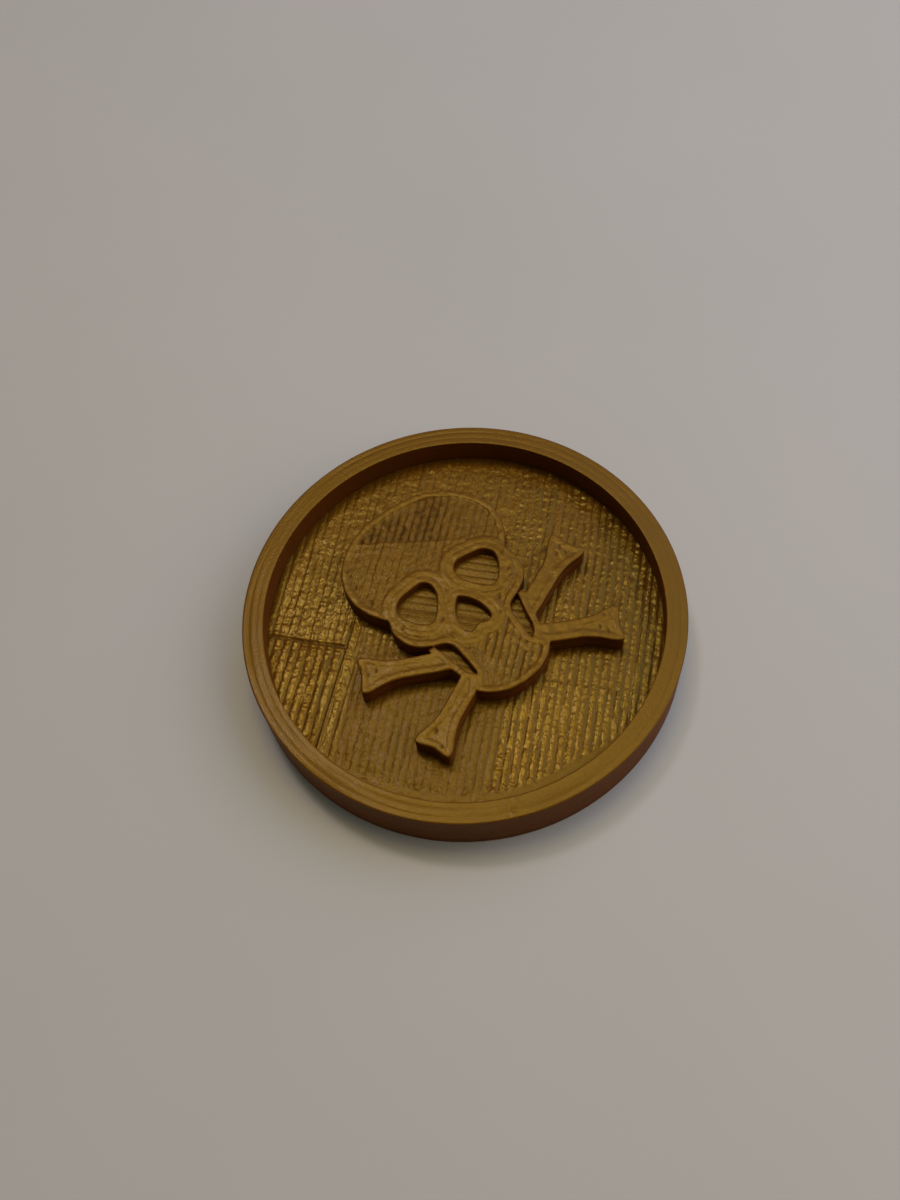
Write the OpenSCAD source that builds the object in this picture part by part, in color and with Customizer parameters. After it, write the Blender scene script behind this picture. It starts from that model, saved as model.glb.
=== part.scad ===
// A round game token: a flat disc with a raised rim, and on its floor a raised
// skull over two crossed bones. The object is laid down in layers of 0.2 mm, so
// every height here is a whole number of layers. The skull's crown points along
// +Y, and the token rests on its flat underside at z = 0.

/* [Disc] */
// Diameter of the token over its rim
token_d = 25; // [23:0.5:40]
// Thickness of the floor that everything stands on
floor_t = 1.6; // [0.8:0.2:3]

/* [Rim] */
// Width of the raised border
rim_w = 1.2; // [0.8:0.1:2]
// Height of the border above the floor
rim_h = 1.6; // [0.6:0.2:3]

/* [Emblem] */
// Height from the floor to the bottom of the eyes and the nose
backing_t = 0.6; // [0.4:0.2:1.2]
// Height from the bottom of the eyes and the nose to the face
face_t = 0.6; // [0.4:0.2:1.2]
// How far the emblem sits to the right of the disc's centre
emblem_shift = 0.3; // [0:0.05:0.6]

/* [Skull] */
// Width across the cranium
skull_w = 10.2; // [9.4:0.1:11]
// Height from the crown to the chin
skull_h = 13.9; // [13.2:0.1:14.6]
// How far the chin lies below the disc's centre
chin_drop = 5.55; // [5:0.05:6]

/* [Eyes and nose] */
// Width of an eye socket
eye_w = 2.55; // [2:0.05:2.9]
// Height of an eye socket
eye_h = 2.45; // [2:0.05:2.8]
// Width of the bridge between the eye sockets
eye_gap = 1.6; // [1.2:0.05:2]
// Height of the eye sockets above the chin
eye_rise = 6.05; // [5.8:0.05:6.5]
// Width of the nose opening
nose_w = 1.8; // [1.2:0.05:2]
// Height of the nose opening
nose_h = 2.25; // [1.6:0.05:2.4]
// Height of the nose opening above the chin
nose_rise = 4.3; // [3.8:0.05:4.5]

/* [Slots beside the jaw] */
// Widest part of the slot between the jaw and the bones
slot_w = 0.7; // [0.4:0.05:0.9]
// Width of the wall on the outer side of the slot
slot_wall = 0.45; // [0.4:0.05:0.6]

/* [Crossed bones] */
// Width of a bone's shaft
bone_shaft_w = 1.2; // [1:0.05:1.4]
// Width of a bone over the two knobs at its end
bone_knob_w = 2.2; // [1.8:0.05:2.6]
// Length over which the shaft widens into the knobs
bone_flare_l = 2.3; // [1.6:0.1:2.8]
// Depth of the dent between the two knobs
bone_dent = 0.15; // [0.05:0.05:0.4]
// How far the crossing of the bones lies below the disc's centre
bone_cross_drop = 2.85; // [2.7:0.05:3]
// How far the upper bones start below the lower ones, on the skull's axis
bone_overlap = 0.8; // [0.4:0.1:1]
// Length of an upper bone, from the skull's axis to its end
upper_bone_l = 8; // [7.2:0.1:8.6]
// Length of a lower bone, from the skull's axis to its end
lower_bone_l = 7.25; // [6.6:0.05:8]
// Angle by which the upper bones rise
upper_bone_angle = 25; // [22:0.5:28]
// Angle by which the lower bones fall
lower_bone_angle = 27.5; // [25:0.5:31]

/* [Hidden] */

// Straight steps that stand for each stretch of a curve between two points.
curve_steps = 4;
round_steps = 96;

rim_r = token_d / 2;
face_z = floor_t + backing_t;
chin_y = -chin_drop;
cross_y = -bone_cross_drop;

// A cut runs past the solid that it cuts by this much.
overrun = 0.5;
// Half the side of a square that is larger than the emblem.
emblem_reach = skull_w + skull_h;

// The outlines below are the right half of the skull, from the crown down. The
// first share is of half the skull's width, the second of its height above the
// chin.
cranium_share = [
    [0, 1], [0.37, 0.983], [0.67, 0.931], [0.875, 0.86],
    [0.98, 0.78], [1, 0.71], [0.955, 0.637], [0.87, 0.58], [0.795, 0.546],
];
cheek_share = [
    [0.795, 0.546], [0.837, 0.487], [0.805, 0.418], [0.705, 0.372], [0.56, 0.34],
];
// The third share is of the slot's full width at that point.
jaw_share = [
    [0.56, 0.34, 0], [0.43, 0.318, 0.83], [0.378, 0.282, 1], [0.367, 0.228, 0.87],
    [0.364, 0.185, 0.68], [0.363, 0.157, 0.4], [0.363, 0.142, 0],
];
chin_share = [[0.502, 0.085], [0.39, 0.045], [0.215, 0.012], [0, 0]];

// The outline of the right eye socket, in shares of its own width and height.
eye_share = [
    [0, 0.71], [0.04, 0.89], [0.18, 1], [0.48, 0.99], [0.82, 0.91], [0.99, 0.7],
    [0.94, 0.42], [0.76, 0.14], [0.6, 0], [0.4, 0.04], [0.18, 0.29], [0.05, 0.52],
];
// The right half of the nose, in shares of half its width and of its height.
nose_share = [
    [0, 1], [0.44, 0.83], [0.8, 0.6], [0.98, 0.32], [0.96, 0.1], [0.67, 0],
    [0.28, 0.04], [0, 0.08],
];
// Where the shaft widens: the share of the flare's length, and of the widening.
flare_share = [[0, 0], [0.27, 0.16], [0.5, 0.47], [0.72, 0.86], [0.88, 1]];

// One point of a curve between p1 and p2, on a Catmull-Rom spline.
function curve_point(p0, p1, p2, p3, t) =
    (2 * p1 + (p2 - p0) * t
    + (2 * p0 - 5 * p1 + 4 * p2 - p3) * t * t
    + (3 * p1 - p0 - 3 * p2 + p3) * t * t * t) / 2;

// A smooth open curve through the points, with both of its ends.
function open_curve(points) = let(last = len(points) - 1) [
    for (i = [0 : last - 1])
        let(
            before = i > 0 ? points[i - 1] : 2 * points[0] - points[1],
            after = i < last - 1 ? points[i + 2] : 2 * points[last] - points[last - 1]
        )
        for (s = [0 : curve_steps - 1])
            curve_point(before, points[i], points[i + 1], after, s / curve_steps),
    points[last],
];

// A smooth closed curve through the points.
function closed_curve(points) = let(count = len(points)) [
    for (i = [0 : count - 1], s = [0 : curve_steps - 1])
        curve_point(
            points[(i + count - 1) % count], points[i],
            points[(i + 1) % count], points[(i + 2) % count],
            s / curve_steps
        ),
];

// The same points without the first one, where a curve goes on from another.
function all_but_first(points) = [for (i = [1 : len(points) - 1]) points[i]];

// The same points in the opposite order, on the other side of the axis.
function mirrored(points) = [
    for (i = [len(points) - 1 : -1 : 0]) [-points[i][0], points[i][1]],
];

// A closed outline from its right half. Both ends of the half lie on the axis.
function both_halves(points) = let(left = mirrored(points)) concat(
    points,
    [for (i = [1 : len(left) - 2]) left[i]]
);

// A point of the skull, from its two shares.
function skull_point(share) = [share[0] * skull_w / 2, chin_y + share[1] * skull_h];

skull_half = concat(
    open_curve([for (s = cranium_share) skull_point(s)]),
    all_but_first(open_curve([for (s = cheek_share) skull_point(s)])),
    all_but_first(open_curve([for (s = jaw_share) skull_point(s)])),
    open_curve([for (s = chin_share) skull_point(s)])
);

// The right side of the jaw, moved out by the slot and then by a further width.
function beside_jaw(further) = open_curve(
    [for (s = jaw_share) skull_point(s) + [s[2] * slot_w + further, 0]]
);

// Half the outline of a bone that lies along +X and starts at x = 0.
function bone_half(length) = let(
    flare_x = length - bone_flare_l,
    shaft = bone_shaft_w / 2,
    widening = (bone_knob_w - bone_shaft_w) / 2
) concat(
    [[0, shaft]],
    open_curve(concat(
        [for (s = flare_share) [flare_x + s[0] * bone_flare_l, shaft + s[1] * widening]],
        [[length, bone_knob_w / 2 - bone_dent], [length - bone_dent, 0]]
    ))
);

// The closed outline of that bone.
function bone_outline(length) = let(half = bone_half(length)) concat(
    half,
    [for (i = [len(half) - 2 : -1 : 0]) [half[i][0], -half[i][1]]]
);

module skull_outline() {
    polygon(both_halves(skull_half));
}

// The area from the skull's axis to a curve beside the right jaw.
module area_inside(curve) {
    polygon(concat(
        [[0, curve[0][1]]],
        curve,
        [[0, curve[len(curve) - 1][1]]]
    ));
}

module upper_arm() {
    translate([0, cross_y - bone_overlap / 2])
        rotate(upper_bone_angle)
            polygon(bone_outline(upper_bone_l));
}

module lower_arm() {
    translate([0, cross_y + bone_overlap / 2])
        rotate(-lower_bone_angle)
            polygon(bone_outline(lower_bone_l));
}

// The right half of what lies beside the skull, with the slots still filled.
module right_bones() {
    upper_arm();
    lower_arm();
    area_inside(beside_jaw(slot_wall));
}

// The part of the right bones that lies above or below their crossing.
module right_bone(above) {
    difference() {
        intersection() {
            right_bones();
            translate([0, above ? cross_y : cross_y - emblem_reach])
                square(emblem_reach);
        }
        area_inside(beside_jaw(0));
        skull_outline();
    }
}

module eye_outline() {
    translate([eye_gap / 2, chin_y + eye_rise])
        polygon(closed_curve([for (s = eye_share) [s[0] * eye_w, s[1] * eye_h]]));
}

module nose_outline() {
    half = [for (s = nose_share) [s[0] * nose_w / 2, s[1] * nose_h]];
    translate([0, chin_y + nose_rise])
        polygon(both_halves(open_curve(half)));
}

// Stands an outline of the emblem up, from one height over the given thickness.
module raise(z, thickness) {
    translate([emblem_shift, 0, z])
        linear_extrude(thickness)
            children();
}

module base_disc() {
    color("darkgoldenrod")
        cylinder(h = floor_t, r = rim_r, $fn = round_steps);
}

module rim_ring() {
    color("goldenrod")
        translate([0, 0, floor_t])
            difference() {
                cylinder(h = rim_h, r = rim_r, $fn = round_steps);
                translate([0, 0, -overrun])
                    cylinder(h = rim_h + 2 * overrun, r = rim_r - rim_w, $fn = round_steps);
            }
}

// The lower layers of the emblem. They close the eyes, the nose and the slots.
module emblem_backing() {
    color("peru")
        raise(floor_t, backing_t)
            union() {
                skull_outline();
                right_bones();
                mirror([1, 0]) right_bones();
            }
}

module skull_face() {
    color("goldenrod")
        raise(face_z, face_t)
            difference() {
                skull_outline();
                eye_outline();
                mirror([1, 0]) eye_outline();
                nose_outline();
            }
}

// One bone end. The left ones mirror the right ones.
module bone_end(above, left) {
    color("goldenrod")
        raise(face_z, face_t)
            mirror([left ? 1 : 0, 0])
                right_bone(above);
}

base_disc();
rim_ring();
emblem_backing();
skull_face();
bone_end(true, true);  // bone_upper_left
bone_end(true, false);  // bone_upper_right
bone_end(false, true);  // bone_lower_left
bone_end(false, false);  // bone_lower_right
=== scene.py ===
"""Looks for the round game token: every surface is laid in printed lines, as the real one is.

Sizes are in millimetres until a mesh is made. Angles are in degrees, anticlockwise from +X
as seen from above.
"""

import math

import bpy
import numpy as np
from mathutils import Matrix, Vector
from mathutils.geometry import delaunay_2d_cdt


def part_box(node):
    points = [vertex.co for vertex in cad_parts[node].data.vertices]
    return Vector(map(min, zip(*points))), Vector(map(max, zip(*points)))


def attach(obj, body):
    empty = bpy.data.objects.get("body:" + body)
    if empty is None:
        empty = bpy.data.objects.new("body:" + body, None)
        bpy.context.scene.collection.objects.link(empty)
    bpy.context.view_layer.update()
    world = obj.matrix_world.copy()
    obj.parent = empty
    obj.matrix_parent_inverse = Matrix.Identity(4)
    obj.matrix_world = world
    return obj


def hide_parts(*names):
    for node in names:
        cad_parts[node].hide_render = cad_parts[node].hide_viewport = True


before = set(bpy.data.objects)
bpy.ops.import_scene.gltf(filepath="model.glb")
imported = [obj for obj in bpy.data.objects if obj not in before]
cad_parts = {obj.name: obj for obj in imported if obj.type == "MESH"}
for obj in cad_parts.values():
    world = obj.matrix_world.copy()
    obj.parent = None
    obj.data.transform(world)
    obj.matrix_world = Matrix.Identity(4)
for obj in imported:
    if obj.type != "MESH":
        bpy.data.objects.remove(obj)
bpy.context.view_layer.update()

MM = 0.001
TURN = 2 * math.pi

# The print's own sizes
LAYER = 0.2
ROAD = 0.44
RIPPLE_LENGTH = 0.54
# The crests of the lines lie about this far under the part's own surface
CREST_DROP = 0.02
EDGE_ROUND = 0.1
# The grooves between a wall's layers, and how far the layers set back and waver
WALL_GROOVE = 0.03
LAYER_SHIFT = 0.008
WALL_WAVER = 0.005
# The walls of the disc and the rim lie this far inside the part's own
WALL_INSET = 0.004
# A raised piece reaches this far into the piece below it
EMBED = 0.06
# Half the width over which the lines beside an outline pass into the rest
SOFT_JOIN = 0.13
# The direction of the lines on the floor
FLOOR_ANGLE = 44.5

# How far the skull's crown leans to the left in the photograph
EMBLEM_TURN = 29.2
# The camera, as fitted to the edges of the rim in the photograph
CAMERA_HEIGHT_ANGLE = 63.33
CAMERA_DISTANCE = 68.2
CAMERA_YAW = 0.58
CAMERA_PITCH = 1.71
CAMERA_ROLL = 6.47
CAMERA_FOCAL_PIXELS = 1165.4
PHOTO_LONG_SIDE_PIXELS = 1200
SENSOR_WIDTH = 36.0


def direction(angle):
    """A unit vector on the level plane."""
    return np.array([math.cos(math.radians(angle)), math.sin(math.radians(angle))])


# Smooth random fields

NOISE_SIDE = 64


def noise(x, y, cell, seed):
    """Smooth noise from -1 to 1 whose blobs are about one cell wide."""
    table = np.random.default_rng(seed).random((NOISE_SIDE, NOISE_SIDE)) * 2 - 1
    across, up = np.asarray(x) / cell, np.asarray(y) / cell
    column, row = np.floor(across).astype(int), np.floor(up).astype(int)
    s, t = across - column, up - row
    s, t = s * s * (3 - 2 * s), t * t * (3 - 2 * t)
    column, row = column % NOISE_SIDE, row % NOISE_SIDE
    next_column, next_row = (column + 1) % NOISE_SIDE, (row + 1) % NOISE_SIDE
    low = table[row, column] * (1 - s) + table[row, next_column] * s
    high = table[next_row, column] * (1 - s) + table[next_row, next_column] * s
    return low * (1 - t) + high * t


def step_up(value, start, end):
    """Goes smoothly from 0 at start to 1 at end."""
    share = np.clip((value - start) / (end - start), 0, 1)
    return share * share * (3 - 2 * share)


# Outlines, from the frame's own meshes

# So many points are measured against an outline at one time, to save memory
BATCH = 4000


def top_loops(node):
    """The closed outlines of a node's top face, largest first, as arrays of points."""
    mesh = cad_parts[node].data
    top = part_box(node)[1].z
    close = 1e-6
    keys, places = {}, []
    vertex_key = {}
    for vertex in mesh.vertices:
        if abs(vertex.co.z - top) < close:
            key = (round(vertex.co.x / close), round(vertex.co.y / close))
            if key not in keys:
                keys[key] = len(places)
                places.append((vertex.co.x / MM, vertex.co.y / MM))
            vertex_key[vertex.index] = keys[key]
    edges = set()
    for face in mesh.polygons:
        faces_up = face.normal.z > 0.5
        if faces_up and all(v in vertex_key for v in face.vertices):
            ring = [vertex_key[v] for v in face.vertices]
            edges.update(zip(ring, ring[1:] + ring[:1]))
    following = {a: b for a, b in edges if (b, a) not in edges}
    loops = []
    while following:
        start = next(iter(following))
        ring, at = [], start
        while at in following:
            ring.append(at)
            at = following.pop(at)
        loops.append(np.array([places[i] for i in ring]))
    return sorted(loops, key=lambda loop: -abs(loop_area(loop)))


def loop_area(loop):
    """The area inside a closed line, negative for a hole."""
    ahead = np.roll(loop, -1, 0)
    return 0.5 * float((loop[:, 0] * ahead[:, 1] - loop[:, 1] * ahead[:, 0]).sum())


def resampled(loop, spacing):
    """The same closed line with points at even distances."""
    closed = np.vstack([loop, loop[:1]])
    lengths = np.concatenate([[0], np.cumsum(np.linalg.norm(np.diff(closed, axis=0), axis=1))])
    fewest = 12
    count = max(fewest, int(round(lengths[-1] / spacing)))
    at = np.arange(count) * lengths[-1] / count
    return np.stack([np.interp(at, lengths, closed[:, k]) for k in (0, 1)], 1)


def rounded(loop, rounds):
    """Rounds the corners a little, as the nozzle does."""
    for _ in range(rounds):
        loop = 0.5 * loop + 0.25 * (np.roll(loop, 1, 0) + np.roll(loop, -1, 0))
    return loop


def outward(loop):
    """Unit normals that point out of the solid, for outer loops and for holes."""
    ahead = np.roll(loop, -1, 0) - np.roll(loop, 1, 0)
    normal = np.stack([ahead[:, 1], -ahead[:, 0]], 1)
    return normal / np.linalg.norm(normal, axis=1)[:, None]


def ends_of(loops):
    """The starts and the ends of all the straight stretches of the loops."""
    return np.vstack(loops), np.vstack([np.roll(loop, -1, 0) for loop in loops])


def distance_to(points, start, end):
    """The distance from each point to the nearest of the stretches."""
    along = end - start
    squared = (along * along).sum(1)
    result = np.empty(len(points))
    for first in range(0, len(points), BATCH):
        offset = points[first:first + BATCH, None] - start[None]
        share = np.clip((offset * along).sum(2) / squared, 0, 1)
        nearest = offset - share[..., None] * along
        result[first:first + BATCH] = np.sqrt((nearest * nearest).sum(2).min(1))
    return result


def is_inside(points, start, end):
    """Whether each point lies inside the closed outlines."""
    result = np.empty(len(points), bool)
    rise = end[:, 1] - start[:, 1]
    slope = (end[:, 0] - start[:, 0]) / np.where(rise == 0, 1, rise)
    for first in range(0, len(points), BATCH):
        p = points[first:first + BATCH, None]
        above = start[None, :, 1] > p[..., 1]
        above_end = end[None, :, 1] > p[..., 1]
        cross = start[:, 0] + (p[..., 1] - start[:, 1]) * slope
        hits = ((above != above_end) & (p[..., 0] < cross)).sum(1)
        result[first:first + BATCH] = hits % 2 == 1
    return result


def depth_inside(points, loops):
    """How far each point lies inside the loops. Outside it is negative."""
    start, end = ends_of(loops)
    distance = distance_to(points, start, end)
    return np.where(is_inside(points, start, end), distance, -distance)


# Printed lines

# So many lines have a level and a lean of their own before these repeat
LINE_KINDS = 400


class Roads:
    """Straight printed lines at one angle. Each is a low bead with dents along it.

    The pitch is a line's width, the groove its depth at the borders, the ripple the depth of
    its dents, and the lean how far it tilts to one side.
    """

    def __init__(self, angle, groove, ripple, lean, seed, pitch=ROAD):
        self.ahead = direction(angle)
        self.side = direction(angle + 90)
        self.pitch, self.groove, self.ripple, self.lean = pitch, groove, ripple, lean
        self.seed = seed
        self.levels, self.leans = np.random.default_rng(seed).normal(0, 1, (2, LINE_KINDS))

    def along(self, x, y):
        return x * self.ahead[0] + y * self.ahead[1]

    def across(self, x, y):
        return x * self.side[0] + y * self.side[1]

    def border(self, index, along):
        """Where the groove before a line runs."""
        wander = 0.07 * self.pitch * noise(along, index * 7.3, 1.7, self.seed + 1)
        return index * self.pitch + wander

    def surface(self, x, y, groove_share=1.0, ripple_share=1.0):
        """The drop under the part's surface, and the marks that the plastic reads."""
        along, across = self.along(x, y), self.across(x, y)
        index = np.floor(across / self.pitch)
        index = np.where(across < self.border(index, along), index - 1, index)
        index = np.where(across >= self.border(index + 1, along), index + 1, index)
        start, end = self.border(index, along), self.border(index + 1, along)
        off_centre = 2 * (across - start) / (end - start) - 1
        line = index.astype(int) % len(self.levels)
        groove_strength = 0.85 + 0.5 * noise(along, index * 1.3, 1.2, self.seed + 5)
        bead = self.groove * groove_share * groove_strength * np.abs(off_centre) ** 2.5
        lean = self.lean * (self.leans[line] + noise(along, index * 2.3, 1.4, self.seed + 6))
        ripple_strength = 0.75 + 0.6 * noise(along, index * 0.9, 1.5, self.seed + 3)
        beat = along / RIPPLE_LENGTH + 0.3 * noise(along, index * 5.7, 0.9, self.seed + 4)
        chance = (
            0.5 + 0.5 * noise(along, index * 1.9, 0.22, self.seed + 7)
            + 0.75 * noise(along, across * 0.6 + index * 3.3, 0.13, self.seed + 8)
        )
        dip = 0.3 * (0.5 + 0.5 * np.cos(TURN * beat)) + 0.7 * chance
        uneven = 0.005 * self.levels[line] + 0.006 * noise(along, index * 3.1, 2.3, self.seed + 2)
        drop = (
            CREST_DROP + bead + lean * off_centre * self.pitch / 2 + uneven
            + self.ripple * ripple_share * ripple_strength * dip
        )
        in_groove = np.abs(off_centre) ** 6 * np.clip(groove_strength * groove_share, 0, 1.3)
        return {
            "drop": drop, "groove": in_groove, "tone": self.levels[line],
            "strokes": np.ones(len(x)), "side": np.zeros(len(x)),
        }


def rings_surface(depth, groove):
    """The drop and the groove of lines that follow an outline, by the distance from it."""
    off_centre = np.abs(2 * np.mod(depth / ROAD, 1) - 1) * (depth > ROAD / 2)
    return groove * off_centre ** 3, off_centre ** 6


def spots(x, y, places, length, width, angle):
    """1 at the nearest of some places, falling to 0 over half a length and half a width."""
    ahead, side = direction(angle), direction(angle + 90)
    gap = np.min([
        np.hypot(
            ((x - px) * ahead[0] + (y - py) * ahead[1]) / length,
            ((x - px) * side[0] + (y - py) * side[1]) / width,
        )
        for px, py in places
    ], axis=0)
    return np.exp(-gap ** 2)


def bell(value, centre, width):
    """1 at the centre, falling smoothly to 0 on both sides."""
    return np.exp(-((value - centre) / width) ** 2)


def edge_drop(depth):
    """How far a rounded edge drops, by the distance from it."""
    short = np.clip(EDGE_ROUND - depth, 0, EDGE_ROUND)
    return EDGE_ROUND - np.sqrt(np.maximum(EDGE_ROUND ** 2 - short ** 2, 0))


# Meshes

# What the plastic reads at each point: how deep it lies in a groove, which darkens it with painted
# shade, its line's tone, which on the floor also carries painted sheen and painted shade, its
# gloss, how strongly fine strokes show, and whether it is on a wall, which reddens it with painted
# bounce light
MARKS = ("groove", "tone", "shine", "strokes", "side")
WALL_SHINE = 0.25
# How strongly the fine strokes show on the smooth places
SMOOTH = 0.2


def smooth_surface(count, drop, groove, tone, shine):
    """A level surface with few strokes. Each value is one number, or one for each point."""
    values = {
        "drop": drop, "groove": groove, "tone": tone, "shine": shine,
        "strokes": SMOOTH, "side": 0.0,
    }
    return {key: value * np.ones(count) for key, value in values.items()}


def wall_marks(groove):
    """The marks of a row of points on a wall."""
    return {"groove": groove, "tone": 0.0, "shine": WALL_SHINE, "strokes": SMOOTH, "side": 1.0}


def add_marks(marks, count, values):
    """Adds the marks of more points. Each is one number, or one for each point."""
    for key in MARKS:
        marks[key].append(values[key] * np.ones(count))


def chosen(mask, one, other):
    """One surface where the mask holds, and the other elsewhere."""
    return {key: np.where(mask, one[key], other[key]) for key in one}


def blended(share, one, other):
    """One surface by its share, and the other by the rest."""
    return {key: one[key] * share + other[key] * (1 - share) for key in one}


def make_object(name, vertices, faces, marks, material):
    """A mesh object with smooth shading, made in metres, which carries the marks."""
    mesh = bpy.data.meshes.new(name)
    mesh.from_pydata((np.asarray(vertices) * MM).tolist(), [], faces)
    for key, values in marks.items():
        layer = mesh.attributes.new(key, "FLOAT", "POINT")
        layer.data.foreach_set("value", np.concatenate(values).astype(np.float32))
    mesh.shade_smooth()
    mesh.materials.append(material)
    mesh.update()
    piece = bpy.data.objects.new(name, mesh)
    bpy.context.scene.collection.objects.link(piece)
    return piece


def lattice(loops, angle, gaps, from_edge, depth_of=depth_inside):
    """Points inside the loops, in rows along the printed lines.

    The gaps between them are given across the lines and along them.
    """
    across_step, along_step = gaps
    everything = np.vstack(loops)
    reach = np.abs(everything).max() * 1.5
    ahead, side = direction(angle), direction(angle + 90)
    across = np.arange(-reach, reach, across_step)
    along = np.arange(-reach, reach, along_step)
    a, b = np.meshgrid(along, across)
    a = a + (np.arange(len(across)) % 2)[:, None] * along_step / 2
    points = a.reshape(-1, 1) * ahead + b.reshape(-1, 1) * side
    low, high = everything.min(0), everything.max(0)
    points = points[((points > low) & (points < high)).all(1)]
    return points[depth_of(points, loops) > from_edge]


def inset_points(loops, distances):
    """Points beside the outline at the given depths, where no other side is nearer."""
    slack = 0.004
    found = []
    for distance in distances:
        for loop in loops:
            points = loop - outward(loop) * distance
            deep = depth_inside(points, loops)
            found.append(points[deep > distance - slack])
    return np.vstack(found)


def triangulated(loops, inner):
    """Triangles over the area inside the loops. The loops' own points come first."""
    points = np.vstack([*loops, inner])
    edges, first = [], 0
    for loop in loops:
        count = len(loop)
        edges += [(first + i, first + (i + 1) % count) for i in range(count)]
        first += count
    inside_only = 1
    out = delaunay_2d_cdt([Vector(p) for p in points], edges, [], inside_only, 1e-6)
    placed = np.array([tuple(p) for p in out[0]])
    new_index = {}
    for new, olds in enumerate(out[3]):
        for old in olds:
            new_index[old] = new
    border = [new_index[i] for i in range(first)]
    faces = np.array([tuple(face) for face in out[2]])
    # A face over a hole has all its corners on the outlines
    across = np.isin(faces, border).all(1)
    if len(loops) > 1 and across.any():
        middles = placed[faces[across]].mean(1)
        over_hole = np.zeros(len(faces), bool)
        over_hole[across] = ~is_inside(middles, *ends_of(loops))
        faces = faces[~over_hole]
    return placed, faces.tolist(), border


def depth_in_circle(points, loops):
    """How far each point lies inside one circle round the origin."""
    return np.linalg.norm(loops[0][0]) - np.linalg.norm(points, axis=1)


def wall_inset(z, z_start, layer_shift):
    """How far a side wall lies inside its outline at a height, for the ridges of the layers."""
    layers = (z - z_start) / LAYER
    off_centre = np.abs(2 * np.mod(layers, 1) - 1)
    index = np.clip(np.floor(layers + 1e-6).astype(int), 0, len(layer_shift) - 1)
    return WALL_GROOVE * off_centre ** 3 + layer_shift[index] * (1 - off_centre ** 6)


def layer_shifts(z_low, z_high, seed):
    """How far each layer of a wall sets back."""
    layers = int(round((z_high - z_low) / LAYER))
    return np.abs(np.random.default_rng(seed).normal(0, LAYER_SHIFT, layers + 1))


def build_slab(
    name, loops, z_low, z_high, top, inner_points, material,
    bottom=None, steps=5, embed=0.0, seed=5, depth_of=depth_inside, edge=EDGE_ROUND,
):
    """A closed solid with layered walls. top gives the surface at points and depths.

    bottom holds the points of the underside, and the function that gives its surface.
    """
    sizes = [len(loop) for loop in loops]
    normals = np.vstack([outward(loop) for loop in loops])
    outline = np.vstack(loops)
    top_outline = loops if edge else [loop - outward(loop) * WALL_GROOVE for loop in loops]
    placed, top_faces, border = triangulated(top_outline, inner_points)
    depth = np.maximum(depth_of(placed, loops), 0)
    depth[border] = 0
    surface = top(placed[:, 0], placed[:, 1], depth)
    drop = surface["drop"]
    step = LAYER / steps
    # The border stays above the first row of the walls
    drop[border] = np.clip(drop[border], 0, edge + 0.7 * step)
    vertices = [np.column_stack([placed, z_high - drop])]
    marks = {key: [surface[key]] for key in MARKS}
    total = len(placed)

    # The side walls, from just below the rounded edge to the bottom
    shift = layer_shifts(z_low, z_high, seed)
    heights = np.arange(z_high - edge - step, z_low - 1e-6, -step)
    heights = np.append(heights, z_low) if heights[-1] - z_low > 1e-4 else heights
    upper = np.array(border)
    faces = list(top_faces)
    rows = []
    for z in heights:
        inset = wall_inset(z, z_low, shift)
        waver = WALL_WAVER * noise(outline[:, 0] * 3 + z * 40, outline[:, 1] * 3, 1.0, seed + 3)
        ring = outline - normals * (inset + waver + WALL_WAVER)[:, None]
        level = z - embed if z == heights[-1] else z
        rows.append(np.column_stack([ring, np.full(len(ring), level)]))
        add_marks(marks, len(ring), wall_marks(min(inset / WALL_GROOVE, 1)))
    for row in rows:
        lower = np.arange(len(outline)) + total
        vertices.append(row)
        first = 0
        for size in sizes:
            here = np.arange(size) + first
            after = (np.arange(size) + 1) % size + first
            quads = np.column_stack([upper[here], lower[here], lower[after], upper[after]])
            faces += [tuple(q) for q in quads.tolist()]
            first += size
        upper = lower
        total += len(outline)

    # The underside
    last_loops, first = [], 0
    for size in sizes:
        last_loops.append(rows[-1][first:first + size, :2])
        first += size
    low_points = bottom["points"] if bottom else np.empty((0, 2))
    placed, low_faces, border = triangulated(last_loops, low_points)
    shared = {new: upper[old] for old, new in enumerate(border)}
    rest = [i for i in range(len(placed)) if i not in shared]
    for order, i in enumerate(rest):
        shared[i] = total + order
    if rest:
        own = bottom["surface"](placed[rest][:, 0], placed[rest][:, 1])
        vertices.append(np.column_stack([placed[rest], z_low - embed + own["drop"]]))
        add_marks(marks, len(rest), own)
    faces += [tuple(int(shared[i]) for i in reversed(face)) for face in low_faces]
    return make_object(name, np.vstack(vertices), faces, marks, material)


# The plastic

CREST_COLOUR = (0.084, 0.0293, 0.0024, 1)
# Painted shade: grooves, gaps and pits take this darker colour for the shade that falls in them
GROOVE_SHADE_COLOUR = (0.038, 0.0124, 0.0010, 1)
# Painted bounce light: a wall's colour is the other's times this, which makes it redder, for the
# reddish light that the plastic throws between its walls
WALL_BOUNCE_TINT = (1.3, 0.75, 0.8)
SHEEN_TINT = (1.0, 0.70, 0.08, 1)
# Roughness where the shine is 0 and where it is 1, and what a groove adds
DULL_ROUGHNESS = 0.54
SILKY_ROUGHNESS = 0.16
GROOVE_ROUGHNESS = 0.3


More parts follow.
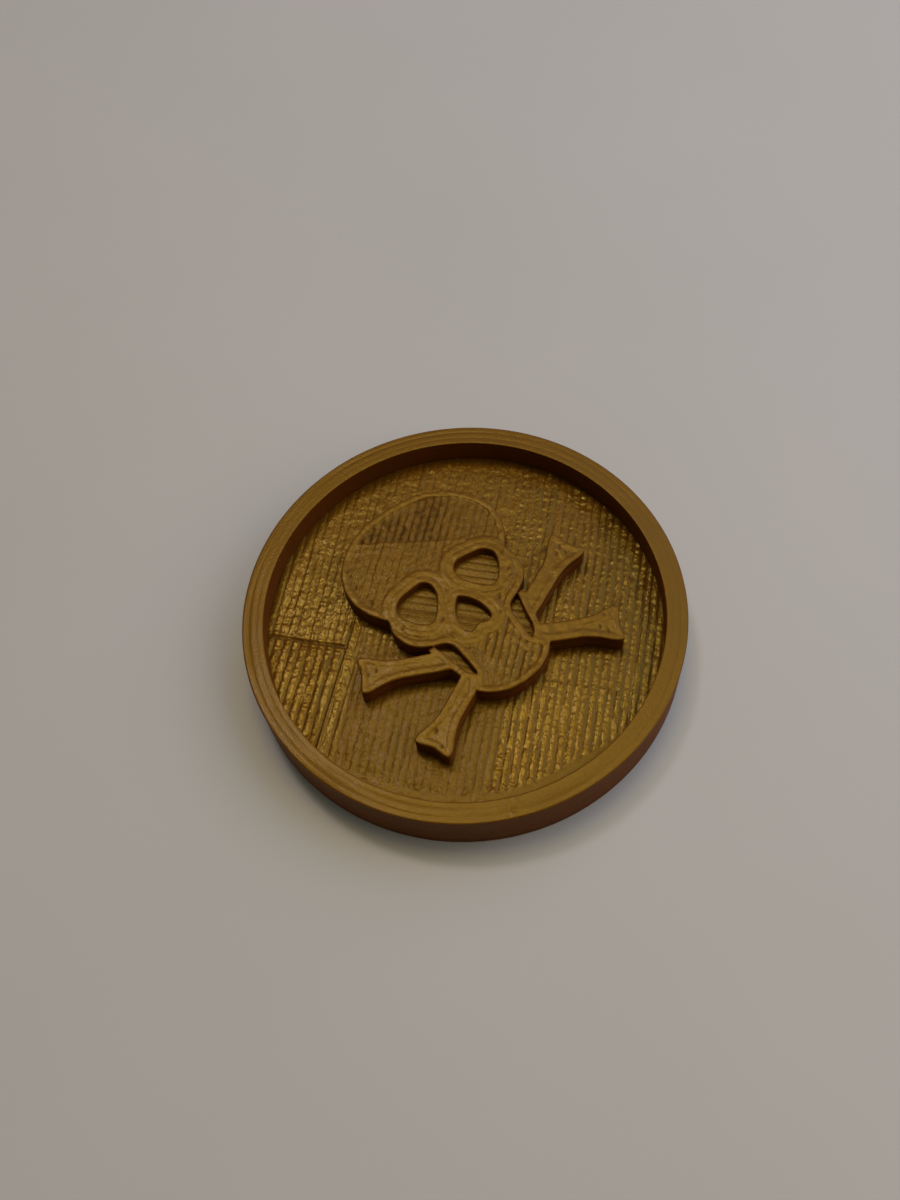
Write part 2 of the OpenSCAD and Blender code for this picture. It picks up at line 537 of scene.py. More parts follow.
def make_plastic():
    """Silky bronze-brown plastic: rougher in the grooves and darkened there by painted shade, and
    redder on the walls by painted bounce light.
    """
    material = bpy.data.materials.new("bronze_plastic_print")
    material.use_nodes = True
    tree = material.node_tree
    tree.nodes.clear()
    node = tree.nodes.new
    link = tree.links.new
    out = node("ShaderNodeOutputMaterial")
    shader = node("ShaderNodeBsdfPrincipled")
    link(shader.outputs[0], out.inputs[0])
    shader.inputs["Specular IOR Level"].default_value = 0.42
    shader.inputs["Specular Tint"].default_value = SHEEN_TINT
    shader.inputs["Coat Weight"].default_value = 0.04
    shader.inputs["Coat Roughness"].default_value = 0.12
    # The plastic lets a little light through
    shader.inputs["Subsurface Weight"].default_value = 0.35
    shader.inputs["Subsurface Scale"].default_value = 0.0005
    shader.inputs["Subsurface Radius"].default_value = (1.0, 0.4, 0.15)
    place = node("ShaderNodeTexCoord")
    marks = {}
    for key in MARKS:
        marks[key] = node("ShaderNodeAttribute")
        marks[key].attribute_name = key

    def noise_texture(scale, detail, vector):
        texture = node("ShaderNodeTexNoise")
        texture.inputs["Scale"].default_value = scale
        texture.inputs["Detail"].default_value = detail
        link(vector, texture.inputs["Vector"])
        return texture.outputs["Fac"]

    def scaled(value, factor, added):
        """The value times a factor, plus a number or another value."""
        math_node = node("ShaderNodeMath")
        math_node.operation = "MULTIPLY_ADD"
        link(value, math_node.inputs[0])
        math_node.inputs[1].default_value = factor
        if isinstance(added, float):
            math_node.inputs[2].default_value = added
        else:
            link(added, math_node.inputs[2])
        return math_node.outputs[0]

    clouds = noise_texture(350.0, 3.0, place.outputs["Object"])
    grain = noise_texture(7000.0, 2.0, place.outputs["Object"])

    # Fine strokes along the printed lines
    along_lines = node("ShaderNodeMapping")
    along_lines.vector_type = "TEXTURE"
    along_lines.inputs["Rotation"].default_value = (0, 0, math.radians(FLOOR_ANGLE))
    along_lines.inputs["Scale"].default_value = (2.0, 1.0, 1.0)
    link(place.outputs["Object"], along_lines.inputs["Vector"])
    fine = noise_texture(9000.0, 1.0, along_lines.outputs["Vector"])
    by_mark = node("ShaderNodeMath")
    by_mark.operation = "MULTIPLY"
    link(scaled(fine, 1.0, -0.5), by_mark.inputs[0])
    link(marks["strokes"].outputs["Fac"], by_mark.inputs[1])
    strokes = by_mark.outputs[0]

    # Colour: each line has its own tone, over slow clouds; on the floor the tone also carries
    # painted sheen and painted shade by zone
    # Painted shade: the colour goes from the crest colour to the darker groove colour by how deep a
    # point lies in a groove
    crest = node("ShaderNodeValToRGB")
    crest.color_ramp.elements[0].position = 0.0
    crest.color_ramp.elements[0].color = CREST_COLOUR
    crest.color_ramp.elements[1].position = 1.0
    crest.color_ramp.elements[1].color = GROOVE_SHADE_COLOUR
    link(marks["groove"].outputs["Fac"], crest.inputs["Fac"])
    tone = scaled(marks["tone"].outputs["Fac"], 0.06, scaled(clouds, 0.44, 0.78))
    tone = scaled(strokes, 0.9, tone)
    # Painted bounce light: the walls take a redder colour than the tops
    bounce_tinted = node("ShaderNodeVectorMath")
    bounce_tinted.operation = "MULTIPLY"
    bounce_tinted.inputs[1].default_value = WALL_BOUNCE_TINT
    link(crest.outputs["Color"], bounce_tinted.inputs[0])
    by_side = node("ShaderNodeMix")
    by_side.data_type = "VECTOR"
    link(marks["side"].outputs["Fac"], by_side.inputs[0])
    link(crest.outputs["Color"], by_side.inputs[4])
    link(bounce_tinted.outputs[0], by_side.inputs[5])
    colour = node("ShaderNodeVectorMath")
    colour.operation = "SCALE"
    link(by_side.outputs[1], colour.inputs[0])
    link(tone, colour.inputs["Scale"])
    link(colour.outputs[0], shader.inputs["Base Color"])

    # Gloss: from dull to silky, rougher in the grooves, with a fine speckle
    by_shine = node("ShaderNodeMapRange")
    by_shine.inputs["To Min"].default_value = DULL_ROUGHNESS
    by_shine.inputs["To Max"].default_value = SILKY_ROUGHNESS
    link(marks["shine"].outputs["Fac"], by_shine.inputs["Value"])
    rough = scaled(marks["groove"].outputs["Fac"], GROOVE_ROUGHNESS, by_shine.outputs[0])
    link(scaled(grain, 0.14, scaled(clouds, 0.06, rough)), shader.inputs["Roughness"])

    # The finest grain, which no mesh holds
    bump = node("ShaderNodeBump")
    bump.inputs["Strength"].default_value = 0.4
    bump.inputs["Distance"].default_value = 0.00003
    link(scaled(strokes, 1.5, grain), bump.inputs["Height"])
    link(bump.outputs[0], shader.inputs["Normal"])
    link(bump.outputs[0], shader.inputs["Coat Normal"])
    return material


plastic = make_plastic()

# The disc

# The points round the disc's edge
DISC_STEPS = 400
# The gaps between mesh points, across the printed lines and along them
FLOOR_GAPS = (0.0565, 0.085)
UNDER_GAPS = (0.11, 0.5)
# The floor's mesh runs on under the rim by this much, where it lies lower
UNDER_RIM = 0.15
UNDER_RIM_DROP = 0.05
# The emblem hides the floor's middle, so only one point in so many stays that far inside it
HIDDEN_DEPTH = 0.4
HIDDEN_KEPT = 12
# The deepest groove of the underside
UNDER_DEEPEST = 0.05

disc_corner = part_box("base_disc")[1]
disc_r = disc_corner.x / MM
floor_z = disc_corner.z / MM
rim_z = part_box("rim_ring")[1].z / MM
rim_inner_r = float(np.linalg.norm(top_loops("rim_ring")[1], axis=1).max())
angles = np.arange(DISC_STEPS) * TURN / DISC_STEPS
circle = np.column_stack([np.cos(angles), np.sin(angles)])

floor_roads = Roads(FLOOR_ANGLE, pitch=0.452, groove=0.05, ripple=0.022, lean=0.022, seed=11)
patch_roads = Roads(FLOOR_ANGLE - 1, pitch=0.50, groove=0.062, ripple=0.038, lean=0.015, seed=12)
# The patch of wider lines at the left: where it ends beside a slanting line and across the lines
PATCH_ACROSS = 6.17
PATCH_SLANT = 0.045
PATCH_ALONG = -2.7
# Where the lines of the near side end
NEAR_END_ALONG = -2.85
# Two small gaps in the lines, and one small lump
FLOOR_PITS = ((6.60, 1.11), (5.69, 0.10))
FLOOR_NUB = ((10.03, 5.19),)
# The floor's own round lines show inside the near part of the rim
NEAR_SIDE = direction(270 - EMBLEM_TURN)
NEAR_LINES = 2.2


def dull_zone(along, across):
    """1 on the dull stretch of the floor, and 0 elsewhere."""
    return step_up(across, -3.6, -2.6) * step_up(-across, -5.9, -5.3) * step_up(-along, 1.5, 3.0)


def plain_floor(x, y, along, across):
    """The floor's straight lines. They change from zone to zone as in the photograph."""
    dull = dull_zone(along, across)
    bright = step_up(-across, 2.8, 5.0) * step_up(-along, 1.5, 8.0)
    woven = step_up(across, 5.4, 6.2) * step_up(-along, -2.5, 0.5)
    nearest = step_up(-along, 5.0, 7.5) * step_up(-across, 2.4, 3.6)
    right = step_up(-across, 5.5, 7.5)
    far = step_up(along, 2.0, 5.0) * step_up(across, -3.0, 0.0)
    far_right = step_up(along, 0.0, 3.0) * step_up(-across, 2.5, 5.0)
    surface = floor_roads.surface(
        x, y,
        groove_share=0.72 + 0.2 * right + 0.3 * nearest + 0.2 * far_right
        - 0.25 * dull - 0.2 * woven - 0.25 * far,
        ripple_share=0.75 + 0.3 * woven + 1.0 * nearest + 0.35 * far_right
        - 0.3 * bright - 0.1 * dull - 0.25 * far,
    )
    surface["shine"] = 0.9 + 0.3 * bright - 0.4 * dull + 0.1 * woven
    surface["strokes"] = 0.8 + 0.2 * bright + 0.3 * woven
    # Painted sheen: the nearest zone is made lighter. Painted shade: the right zone, where the rim
    # shades the floor, is made darker.
    surface["tone"] = surface["tone"] + 3.5 * nearest - 3.5 * right * step_up(along, -6, 1)
    return surface


def floor_patch(x, y):
    """The glossier patch of wider lines."""
    surface = patch_roads.surface(x, y)
    surface["shine"] = np.full(len(x), 1.15)
    surface["strokes"] = np.full(len(x), 0.9)
    return surface


def add_line_ends(surface, x, y, along, across, in_patch):
    """Raises the ends of the lines, where the patch starts and on the near side."""
    on_crest = 1 - np.clip(surface["groove"], 0, 1)
    patch_ends = bell(along, PATCH_ALONG - 0.22, 0.12) * in_patch
    near_ends = bell(along, NEAR_END_ALONG - 0.2, 0.13) * step_up(-across, 3.2, 3.8)
    near_ends = near_ends * np.clip(0.3 + noise(x, y, 0.3, 31), 0, 1)
    surface["drop"] -= (0.035 * patch_ends + 0.04 * near_ends) * on_crest


def add_seams(surface, x, y, along, across, side_line):
    """Adds a groove across the patch's line ends, and a raised thread beside the patch."""
    beside = along < PATCH_ALONG + 1.6
    gap = np.max([
        bell(along, PATCH_ALONG, 0.08) * (across > side_line),
        0.7 * bell(across, side_line + 0.15, 0.07) * beside,
        0.4 * bell(across, side_line - 0.62, 0.06) * beside,
        spots(x, y, FLOOR_PITS, 0.2, 0.1, FLOOR_ANGLE),
    ], axis=0) * np.clip(0.85 + 0.4 * noise(x, y, 0.5, 33), 0, 1)
    thread = (bell(across, side_line, 0.07) + 0.5 * bell(across, side_line - 0.5, 0.06)) * beside
    surface["drop"] += 0.11 * gap - 0.035 * thread - 0.09 * spots(x, y, FLOOR_NUB, 0.14, 0.14, 0)
    # The gaps also take the groove's painted shade
    surface["groove"] = np.maximum(surface["groove"] * (1 - np.clip(thread, 0, 1)), gap)


def with_near_lines(surface, x, y, radius):
    """The floor with round lines laid over it, inside the near part of the rim."""
    near = (x * NEAR_SIDE[0] + y * NEAR_SIDE[1]) / np.maximum(radius, 1)
    nearness = step_up(near, 0.6, 0.92)
    wall_gap = rim_inner_r - radius
    round_drop, round_groove = rings_surface(wall_gap + 0.05 * noise(x, y, 0.8, 35), 0.012)
    in_places = np.clip(0.5 + noise(x, y, 0.7, 36), 0, 1)
    rounds = smooth_surface(
        len(x), CREST_DROP + round_drop * in_places, 0.3 * round_groove * in_places, 0.0, 0.5
    )
    round_end = NEAR_LINES * ROAD * nearness
    beyond = step_up(wall_gap, round_end - SOFT_JOIN, round_end + SOFT_JOIN)
    beyond = np.where(round_end > 0, beyond, 1)
    surface = blended(beyond, surface, rounds)
    blobs = bell(wall_gap, 2.6 * ROAD, 0.25) * nearness
    surface["drop"] -= 0.05 * blobs * np.clip(noise(x, y, 0.2, 34), 0, 1)
    return surface


def floor_top(x, y, depth):
    """The floor, with its patch, seams and round lines, and with all lines a little uneven."""
    along, across = floor_roads.along(x, y), floor_roads.across(x, y)
    radius = np.hypot(x, y)
    side_line = PATCH_ACROSS + PATCH_SLANT * (-1 - along)
    in_patch = (across > side_line) & (along < PATCH_ALONG)
    surface = chosen(in_patch, floor_patch(x, y), plain_floor(x, y, along, across))
    add_line_ends(surface, x, y, along, across, in_patch)
    add_seams(surface, x, y, along, across, side_line)
    surface = with_near_lines(surface, x, y, radius)
    fine = 0.006 + 0.006 * dull_zone(along, across)
    surface["drop"] += fine * noise(x, y, 0.17, 31) + 0.008 * noise(x, y, 0.5, 32)
    under_rim = radius > rim_inner_r + 0.1
    surface["drop"] = np.where(under_rim, UNDER_RIM_DROP, surface["drop"])
    return surface


def under_surface(x, y):
    """The faint straight lines of the underside."""
    surface = under_roads.surface(x, y)
    surface["drop"] = np.clip(surface["drop"] - CREST_DROP, 0, UNDER_DEEPEST)
    surface["shine"] = np.full(len(x), 0.8)
    return surface


disc_loop = circle * (disc_r - WALL_INSET)
floor_points = lattice(
    [circle * (rim_inner_r + UNDER_RIM)], FLOOR_ANGLE, FLOOR_GAPS, 0.0, depth_in_circle
)
under_emblem = depth_inside(floor_points, top_loops("emblem_backing")) > HIDDEN_DEPTH
few = np.arange(len(floor_points)) % HIDDEN_KEPT == 0
floor_points = floor_points[~under_emblem | few]
under_roads = Roads(FLOOR_ANGLE + 90, groove=0.03, ripple=0.0, lean=0.0, seed=14)
under_points = lattice(
    [circle * (disc_r - UNDER_RIM)], FLOOR_ANGLE + 90, UNDER_GAPS, 0.0, depth_in_circle
)
disc = build_slab(
    "printed_disc", [disc_loop], 0.0, floor_z, floor_top, floor_points, plastic,
    bottom={"points": under_points, "surface": under_surface}, seed=20,
    depth_of=depth_in_circle, edge=0.0,
)
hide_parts("base_disc")

# The rim

RIM_LINES = 3
RIM_GROOVE = 0.02
RIM_SHINE = 0.57
RIM_LEAN = 0.1
# The side where the rim's lines show most
RIM_LINES_ANGLE = math.radians(225 - EMBLEM_TURN)
# The inner edge of the rim is rounded less than the outer one, by this share
INNER_ROUNDING = 0.5
# The place where the round lines of the rim start and stop, and how rough it is
RIM_SCAR_ANGLE = math.radians(-113.5)
RIM_SCAR_HEIGHT = 0.022
# The points round the rim, over each rounded edge and over the flat between them
RIM_STEPS = 720
EDGE_POINTS = 6
FLAT_POINTS = 27


def rim_profile(rim_w, line, profile_steps, seed):
    """The rim's section, from the foot of its outer wall over the top to that of its inner one.

    Each point has its distance from the outer side, its height, whether it is on the top, and
    how deep it lies in a groove.
    """
    shift = layer_shifts(floor_z, rim_z, seed)
    wall = []
    for z in np.arange(floor_z, rim_z - EDGE_ROUND + 1e-6, LAYER / profile_steps):
        inset = wall_inset(z, floor_z, shift)
        wall.append((inset + WALL_INSET, z, False, min(inset / WALL_GROOVE, 1)))
    across = np.concatenate([
        EDGE_ROUND * (1 - np.cos(np.linspace(0, math.pi / 2, EDGE_POINTS)[1:-1])),
        np.linspace(EDGE_ROUND, rim_w - EDGE_ROUND, FLAT_POINTS),
        rim_w - EDGE_ROUND * (1 - np.cos(np.linspace(math.pi / 2, 0, EDGE_POINTS)[1:-1])),
    ])
    top = []
    for a in across:
        rounding = 1 if a < rim_w / 2 else INNER_ROUNDING
        drop = edge_drop(min(a, rim_w - a)) * rounding
        groove = abs(2 * ((a / line) % 1) - 1) if line / 2 < a < rim_w - line / 2 else 0.0
        top.append((a, rim_z - drop, True, groove))
    inner_wall = [(rim_w - a, z, on_top, groove) for a, z, on_top, groove in reversed(wall)]
    return wall + top + inner_wall


def rim_top_row(a, z, groove, line, around, seed):
    """The heights and the marks of a row of points on the rim's top."""
    wavering = np.clip(0.5 + 0.8 * noise(around * 2, a * 0.8, 1.0, seed + 2), 0.05, 1)
    number = min(int(a / line), RIM_LINES - 1)
    off_centre = 2 * (a / line - number) - 1
    lean = RIM_LEAN * noise(around * 2.6, number * 3.1, 1.0, seed + 7)
    lean = lean * (0.3 + 0.7 * step_up(np.cos(around - RIM_LINES_ANGLE), -0.2, 0.8))
    scar_gap = ((around - RIM_SCAR_ANGLE + math.pi) % TURN - math.pi) * disc_r
    rough = bell(scar_gap, 0.3 * a, 0.45) * noise(scar_gap, a, 0.24, seed + 8)
    heights = (
        z - CREST_DROP - RIM_GROOVE * wavering * groove ** 3 - RIM_SCAR_HEIGHT * rough
        - lean * off_centre * line / 2
        - 0.003 * noise(around * disc_r, a, 1.3, seed + 4)
        - 0.0015 * noise(around * disc_r, a * 3, 0.3, seed + 5)
    )
    shine = RIM_SHINE + 0.1 * noise(around * disc_r, a, 2.0, seed + 6)
    marks = {
        "groove": 0.3 * wavering * groove ** 6, "tone": 0.0, "shine": shine,
        "strokes": SMOOTH, "side": 0.0,
    }
    return heights, marks


def ring_solid(name, profile_steps, seed):
    """The rim as a closed ring: its outer wall, its round lines on top, its inner wall."""
    rim_w = disc_r - rim_inner_r
    line = rim_w / RIM_LINES
    around = np.arange(RIM_STEPS) * TURN / RIM_STEPS
    profile = rim_profile(rim_w, line, profile_steps, seed)
    vertices = []
    marks = {key: [] for key in MARKS}
    for a, z, on_top, groove in profile:
        radius = np.full(RIM_STEPS, disc_r - a)
        if on_top:
            heights, row_marks = rim_top_row(a, z, groove, line, around, seed)
        else:
            waver = WALL_WAVER * np.abs(noise(around * disc_r * 3, z * 40, 1.0, seed + 1))
            radius = radius - waver * (1 if a < rim_w / 2 else -1)
            heights, row_marks = np.full(RIM_STEPS, z), wall_marks(groove)
        add_marks(marks, RIM_STEPS, row_marks)
        vertices.append(
            np.column_stack([radius * np.cos(around), radius * np.sin(around), heights])
        )
    vertices[0][:, 2] -= EMBED
    vertices[-1][:, 2] -= EMBED
    faces = []
    total = len(profile)
    here = np.arange(RIM_STEPS)
    after = (here + 1) % RIM_STEPS
    for i in range(total):
        row = i * RIM_STEPS
        next_row = ((i + 1) % total) * RIM_STEPS
        quads = np.column_stack([row + here, row + after, next_row + after, next_row + here])
        faces += [tuple(q) for q in quads.tolist()]
    return make_object(name, np.vstack(vertices), faces, marks, plastic)


rim = ring_solid("printed_rim", 5, 40)
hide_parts("rim_ring")

# The emblem

# Two regions join where their outlines come this near, and there they overlap by this much
TOUCH = 0.03
SEAM_OVERLAP = 0.025
OUTLINE_WOBBLE = 0.014
# The points along an outline, and those in rows beside it, lie this far apart
OUTLINE_STEP = 0.075
FIRST_ROW = 0.02
ROW_STEP = 0.055
# The gaps between the other mesh points, across the printed lines and along them
EMBLEM_GAPS = (0.05, 0.09)
# The straight lines stay this far from the rows beside the outline
ROW_MARGIN = 0.03
# The lines that follow an outline are a little glossier than the straight ones
EMBLEM_SHINE = 0.54
OUTLINE_SHINE = EMBLEM_SHINE + 0.1
BACKING_ANGLE = -45.5
SKULL_ANGLE = 42.0
BONE_ANGLE = 44.0


def relief(name, node, top, angle, ring_width, neighbours=(), edge=EDGE_ROUND, seed=50):
    """One raised region. Where it joins a neighbour, its edge isn't rounded."""
    low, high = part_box(node)
    others = [loop for other in neighbours for loop in top_loops(other)]
    loops, free_start, free_end = [], [], []
    for raw in top_loops(node):
        loop = resampled(raw, OUTLINE_STEP)
        joined = np.zeros(len(loop), bool)
        if others:
            joined = distance_to(loop, *ends_of(others)) < TOUCH
        wobble = OUTLINE_WOBBLE * noise(loop[:, 0], loop[:, 1], 0.55, 48)
        free = rounded(loop, 2) + outward(loop) * wobble[:, None]
        loop = np.where(joined[:, None], loop + outward(loop) * SEAM_OVERLAP, free)
        is_free = ~(joined & np.roll(joined, -1))
        loops.append(loop)
        free_start.append(loop[is_free])
        free_end.append(np.roll(loop, -1, 0)[is_free])
    free_start, free_end = np.vstack(free_start), np.vstack(free_end)
    depths = [FIRST_ROW, *(np.arange(1, int(ring_width / ROW_STEP) + 1) * ROW_STEP)]
    inner = np.vstack([
        inset_points(loops, depths),
        lattice(loops, angle, EMBLEM_GAPS, ring_width + ROW_MARGIN),
    ])

    def finished(x, y, depth):
        surface = top(x, y, depth, loops)
        uneven = 0.016 * noise(x, y, 0.45, seed + 7) + 0.008 * noise(x, y, 0.18, seed + 8)
        surface["drop"] += uneven if edge else 0.5 * uneven
        if edge:
            surface["drop"] += edge_drop(distance_to(np.column_stack([x, y]), free_start, free_end))
        return surface

    piece = build_slab(
        name, loops, low.z / MM, high.z / MM, finished, inner, plastic,
        embed=EMBED, seed=seed, edge=edge,
    )
    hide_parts(node)
    return piece


def with_rings(surface, x, y, depth, lines, groove, seed):
    """The surface with lines that follow an outline laid over it, beside that outline."""
    depth = depth + 0.03 * noise(x, y, 0.9, seed)
    clear = np.clip(0.8 + 0.6 * noise(x, y, 1.2, seed + 1), 0, 1.2)
    ring_drop, ring_groove = rings_surface(depth, groove)
    rings = smooth_surface(
        len(x), 0.005 + ring_drop * clear, 0.2 * ring_groove * clear, 0.6, OUTLINE_SHINE
    )
    width = lines * ROAD
    share = step_up(depth, width - SOFT_JOIN, width + SOFT_JOIN)
    surface = blended(share, surface, rings)
    surface["drop"] += 0.008 * bell(depth, width, SOFT_JOIN) * clear
    return surface


backing_roads = Roads(BACKING_ANGLE, groove=0.022, ripple=0.008, lean=0.04, seed=61)


def backing_top(x, y, depth, loops):
    """The bottoms of the eyes, the nose and the slots."""
    surface = backing_roads.surface(x, y)
    surface["groove"] = surface["groove"] * 0.6
    surface["shine"] = np.full(len(x), EMBLEM_SHINE)
    return surface


skull_roads = Roads(SKULL_ANGLE, pitch=0.43, groove=0.04, ripple=0.016, lean=0.05, seed=71)
# On the crown the lines are thin and rough, down to one line across the forehead
CROWN_START = (-3.07, 7.70)
CROWN_AHEAD = direction(-33.7)
CROWN_SIDE = direction(56.3)
# The small gaps and the small lumps that the lines leave on the skull
SKULL_PITS = (
    (-3.89, 6.13), (-3.95, 5.76), (-4.08, 4.95), (-4.19, 4.31), (-3.86, 3.66), (-3.34, 1.17),
    (2.18, -0.41), (1.70, -1.26), (2.08, 0.79), (0.03, 1.74), (-1.22, 0.28), (1.22, -3.47),
)
SKULL_BLOBS = (
    (3.99, 1.68), (3.68, 0.58), (3.54, 0.19), (4.36, 1.90), (-0.19, -2.50), (-1.27, -0.93),
    (-1.01, -2.59),
)


def skull_top(x, y, depth, loops):
    """The face: straight lines, with lines round the outline and round each opening."""
    points = np.column_stack([x, y])
    over_line = (x - CROWN_START[0]) * CROWN_SIDE[0] + (y - CROWN_START[1]) * CROWN_SIDE[1]
    on_line = (x - CROWN_START[0]) * CROWN_AHEAD[0] + (y - CROWN_START[1]) * CROWN_AHEAD[1]
    crown = step_up(over_line, -0.05, 0.15)
    thin = crown * (1 - 0.7 * step_up(on_line, 4.8, 6.6)) * (0.9 + 0.5 * noise(x, y, 0.8, 74))
    jaw = step_up(-y, 1.0, 1.6) * step_up(x, -1.2, 0.2)
    forehead = step_up(x, -1.0, 1.0) * (1 - crown)
    broken = 0.75 + 0.6 * noise(x, y, 0.3, 72)
    surface = skull_roads.surface(
        x, y, groove_share=0.2 + 0.5 * forehead + 2.8 * thin * broken + 0.8 * jaw,
        ripple_share=0.5 + 2.6 * thin,
    )
    surface["strokes"] = 1.0 + 0.8 * (1 - crown) * (1 - jaw)
    surface["shine"] = EMBLEM_SHINE - 0.15 * thin + 0.2 * jaw
    rough_spots = 0.9 * thin * np.clip(noise(x, y, 0.2, 73) + 0.1, 0, 1)
    # Rough spots on the crown also take the groove's darker painted-shade colour and its roughness
    surface["groove"] = np.clip(surface["groove"], 0, 1.2) + rough_spots
    surface["drop"] += 0.015 + 0.03 * thin + 0.010 * (1 - crown) * noise(x, y, 0.2, 75)
    surface["drop"] -= 0.02 * bell(over_line, 0.0, 0.06)
    outer_depth = distance_to(points, *ends_of(loops[:1]))
    hole_depth = distance_to(points, *ends_of(loops[1:]))
    surface = with_rings(surface, x, y, outer_depth, 1, 0.024, 76)
    surface = with_rings(surface, x, y, hole_depth, 2, 0.014, 78)
    brow = step_up(y, 3.0, 3.4) * step_up(x, 0.0, 0.4)
    surface["drop"] -= 0.02 * bell(hole_depth, 2.45 * ROAD, 0.08) * brow
    pit = spots(x, y, SKULL_PITS, 0.12, 0.06, SKULL_ANGLE) * (0.8 + 0.4 * noise(x, y, 0.15, 80))
    blob = spots(x, y, SKULL_BLOBS, 0.15, 0.11, 80.0) * (0.8 + 0.5 * noise(x, y, 0.2, 79))
    surface["drop"] += 0.07 * pit - 0.07 * blob
    # The pits take the groove's painted shade
    surface["groove"] = np.maximum(surface["groove"], pit)
    return surface


# The small gaps that the lines leave in the knobs
KNOB_PITS = {
    "bone_upper_left": ((-6.63, 0.48), (-6.47, -0.09), (-5.98, -0.15)),
    "bone_upper_right": ((6.47, -0.09), (6.89, 0.18), (6.96, -0.30)),
    "bone_lower_left": ((-5.29, -5.03), (-5.54, -5.97)),
    "bone_lower_right": ((6.23, -4.84), (5.79, -5.76), (5.59, -5.30)),
}


def bone_top(node, seed):
    """The function that gives one bone's surface: a line round its outline, and its gaps."""
    def top(x, y, depth, loops):
        flat = smooth_surface(len(x), 0.035, 0.0, 0.0, OUTLINE_SHINE)
        surface = with_rings(flat, x, y, depth, 1, 0.012, seed)
        pit = spots(x, y, KNOB_PITS[node], 0.11, 0.06, 60.0)
        surface["drop"] += 0.06 * pit
        # The pits take the groove's painted shade
        surface["groove"] = np.maximum(surface["groove"], pit)
        return surface
    return top


FACE_NODES = ["skull_face", *KNOB_PITS]
backing = relief(
    "printed_backing", "emblem_backing", backing_top, BACKING_ANGLE, ROW_STEP, edge=0.0, seed=60
)
skull = relief(
    "printed_skull", "skull_face", skull_top, SKULL_ANGLE, 2 * ROAD,
    neighbours=FACE_NODES[1:], seed=70,
)
bones = []
for seed, node in enumerate(KNOB_PITS, 81):
    neighbours = [other for other in FACE_NODES if other != node]
    bones.append(relief(
        "printed_" + node, node, bone_top(node, seed), BONE_ANGLE, ROAD, neighbours, seed=seed
    ))

for piece in [disc, rim, backing, skull, *bones]:
    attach(piece, "root")

# The camera

def photo_camera():
    """The camera of the photograph, in the token's own frame."""
    rise = math.radians(CAMERA_HEIGHT_ANGLE)
    place = Vector((0, -math.cos(rise), math.sin(rise))) * CAMERA_DISTANCE
    forward = -place.normalized()
    right = Vector((1, 0, 0))
    up = right.cross(forward)
    yaw = Matrix.Rotation(math.radians(CAMERA_YAW), 3, up)
    pitch = Matrix.Rotation(math.radians(CAMERA_PITCH), 3, right)
    for turn in (yaw, pitch):
        forward, right, up = turn @ forward, turn @ right, turn @ up
    roll = Matrix.Rotation(math.radians(CAMERA_ROLL), 3, forward)
    right, up = roll @ right, roll @ up
    to_token = Matrix.Rotation(math.radians(-EMBLEM_TURN), 3, "Z")
    axes = [to_token @ v for v in (right, up, -forward)]
    camera = bpy.data.cameras.new("photo_camera")
    camera.sensor_width = SENSOR_WIDTH
    camera.lens = SENSOR_WIDTH * CAMERA_FOCAL_PIXELS / PHOTO_LONG_SIDE_PIXELS
    camera.clip_start = 0.001
    camera.clip_end = 10.0
    holder = bpy.data.objects.new("photo_camera", camera)
    bpy.context.scene.collection.objects.link(holder)
    matrix = Matrix([[*(axis[k] for axis in axes)] for k in range(3)]).to_4x4()
    matrix.translation = to_token @ place * MM
    holder.matrix_world = matrix
    return holder


bpy.context.scene.camera = photo_camera()

# The table

TABLE_SIDE = 500
PAPER_COLOURS = ((0.362, 0.347, 0.315, 1), (0.374, 0.354, 0.327, 1))


def make_table():
    """A large sheet of pale paper with faint clouds."""
    half = TABLE_SIDE * MM / 2
    mesh = bpy.data.meshes.new("table")
    corners = [(-half, -half, 0), (half, -half, 0), (half, half, 0), (-half, half, 0)]
    mesh.from_pydata(corners, [], [(0, 1, 2, 3)])
    table = bpy.data.objects.new("table", mesh)
    bpy.context.scene.collection.objects.link(table)
    material = bpy.data.materials.new("table_paper")
    material.use_nodes = True
    tree = material.node_tree
    shader = tree.nodes["Principled BSDF"]
    shader.inputs["Roughness"].default_value = 0.6
    shader.inputs["Specular IOR Level"].default_value = 0.2
    place = tree.nodes.new("ShaderNodeTexCoord")
    clouds = tree.nodes.new("ShaderNodeTexNoise")
    clouds.inputs["Scale"].default_value = 60.0
    clouds.inputs["Detail"].default_value = 2.0
    tree.links.new(place.outputs["Object"], clouds.inputs["Vector"])
    tint = tree.nodes.new("ShaderNodeValToRGB")
    tint.color_ramp.elements[0].position = 0.3
    tint.color_ramp.elements[1].position = 0.7
    for element, colour in zip(tint.color_ramp.elements, PAPER_COLOURS):
        element.color = colour
    tree.links.new(clouds.outputs["Fac"], tint.inputs["Fac"])
    tree.links.new(tint.outputs["Color"], shader.inputs["Base Color"])
    mesh.materials.append(material)


make_table()

# The light

ROOM_COLOUR = (0.94, 1.0, 0.88)
ROOM_STRENGTH = 0.12
WALL_COLOUR = (0.22, 0.208, 0.19, 1)
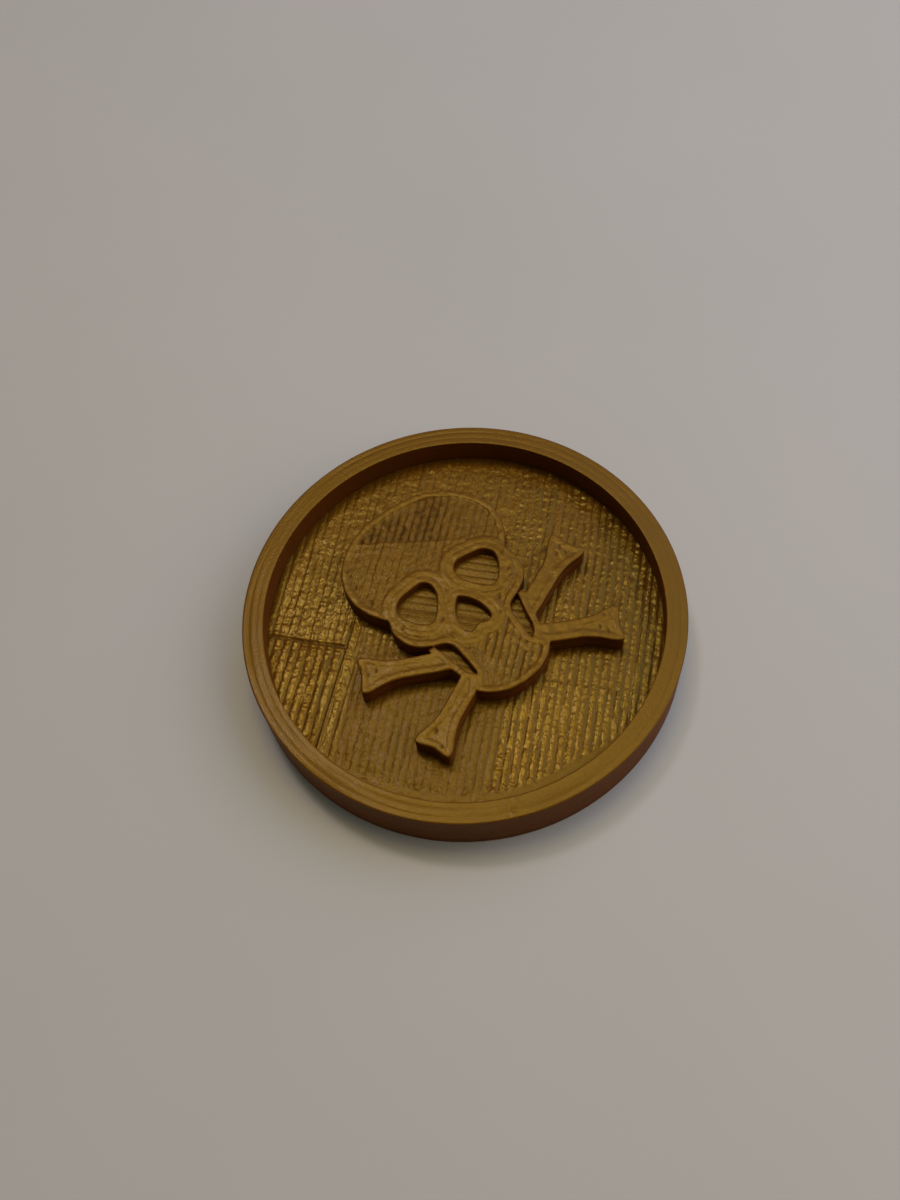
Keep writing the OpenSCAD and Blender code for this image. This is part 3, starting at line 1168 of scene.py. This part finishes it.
# The name, azimuth, height angle, distance, half angle, share and colour of each lamp
LAMPS = (
    ("lamp", 88, 76, 320, 11, 0.23, (1.22, 1.0, 0.45)),
    ("far_lamp", 115, 65, 320, 4, 0.15, (1.15, 1.0, 1.20)),
    ("window", 34, 43, 300, 28, 0.27, (0.77, 1.0, 1.62)),
    ("side_lamp", 348, 38, 180, 24, 0.20, (1.15, 1.0, 0.85)),
    ("ceiling", 60, 80, 300, 32, 0.10, ROOM_COLOUR),
)


def area_light(name, azimuth, height_angle, distance, half_angle, share, colour):
    """A round lamp that looks at the token. The azimuth is in the camera's frame, the half
    angle is its size as seen from the token, and the share is its light on the table."""
    light = bpy.data.lights.new(name, "AREA")
    light.shape = "DISK"
    light.size = 2 * distance * MM * math.tan(math.radians(half_angle))
    rise = math.sin(math.radians(height_angle))
    light.energy = share * math.pi ** 2 * (distance * MM) ** 2 / rise
    light.color = colour
    holder = bpy.data.objects.new(name, light)
    bpy.context.scene.collection.objects.link(holder)
    level = direction(azimuth - EMBLEM_TURN) * math.cos(math.radians(height_angle))
    towards = Vector((level[0], level[1], rise))
    holder.location = towards * distance * MM
    holder.rotation_mode = "QUATERNION"
    holder.rotation_quaternion = towards.to_track_quat("Z", "Y")


def make_room():
    """A weak even light. The camera, gloss and glass see a pale wall in its place."""
    world = bpy.data.worlds.new("room")
    world.use_nodes = True
    tree = world.node_tree
    light = tree.nodes["Background"]
    light.inputs["Color"].default_value = (*ROOM_COLOUR, 1)
    light.inputs["Strength"].default_value = ROOM_STRENGTH
    wall = tree.nodes.new("ShaderNodeBackground")
    wall.inputs["Color"].default_value = WALL_COLOUR
    rays = tree.nodes.new("ShaderNodeLightPath")
    seen = rays.outputs["Is Camera Ray"]
    for kind in ("Is Glossy Ray", "Is Transmission Ray"):
        larger = tree.nodes.new("ShaderNodeMath")
        larger.operation = "MAXIMUM"
        tree.links.new(seen, larger.inputs[0])
        tree.links.new(rays.outputs[kind], larger.inputs[1])
        seen = larger.outputs[0]
    either = tree.nodes.new("ShaderNodeMixShader")
    tree.links.new(seen, either.inputs[0])
    tree.links.new(light.outputs[0], either.inputs[1])
    tree.links.new(wall.outputs[0], either.inputs[2])
    tree.links.new(either.outputs[0], tree.nodes["World Output"].inputs["Surface"])
    return world


for lamp in LAMPS:
    area_light(*lamp)
bpy.context.scene.world = make_room()
bpy.context.scene.view_settings.view_transform = "Standard"
